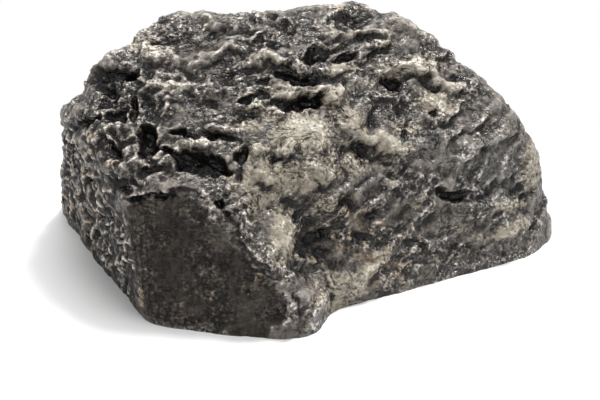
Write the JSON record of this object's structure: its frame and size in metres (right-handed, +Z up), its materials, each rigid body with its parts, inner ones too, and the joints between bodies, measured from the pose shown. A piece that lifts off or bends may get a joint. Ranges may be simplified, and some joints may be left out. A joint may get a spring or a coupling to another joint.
{
  "type": "hide a key rock",
  "caption": "Hollow imitation rock with a sealed key compartment in its underside, closed by a hinged trap door with a magnetic catch.",
  "frame": {"origin": "centre of the footprint box, on the ground under the rock", "axes": "+X along the rock's length to the right, +Y to the back, +Z up"},
  "size_m": [0.1152, 0.0794, 0.0557],
  "materials": {
    "stone_resin": "matt, coarse, sealed",
    "insert_brass": "knurled",
    "gasket_rubber": "matt",
    "plate_plastic": "fine moulded grain",
    "screw_steel": "plain stainless",
    "box_plastic": "satin moulded",
    "box_gasket_rubber": "matt",
    "tapper_steel": "zinc plated",
    "liner_foam": "closed-cell foam",
    "door_plastic": "fine moulded grain",
    "seal_rubber": "matt",
    "pad_foam": "closed-cell foam",
    "pin_steel": "ground",
    "magnet_nickel": "nickel plated",
    "keeper_steel": "plain steel"
  },
  "bodies": {
    "rock": {"rock_shell": "stone_resin", "screw_inserts": "insert_brass", "base_gasket": "gasket_rubber", "base_plate": "plate_plastic", "base_screws": "screw_steel", "key_box": "box_plastic", "box_gasket": "box_gasket_rubber", "box_screws": "tapper_steel", "box_liner": "liner_foam", "hinge_pin": "pin_steel", "catch_magnet": "magnet_nickel"},
    "door": {"door": "door_plastic", "door_seal": "seal_rubber", "door_pad": "pad_foam", "catch_keeper": "keeper_steel"}
  },
  "joints": [
    {"name": "door_hinge", "type": "hinge", "parent": "rock", "child": "door", "pos_m": [-0.0049, 0.02905, 0.0023], "axis": [1, 0, 0], "range_deg": [0, 130]}
  ]
}
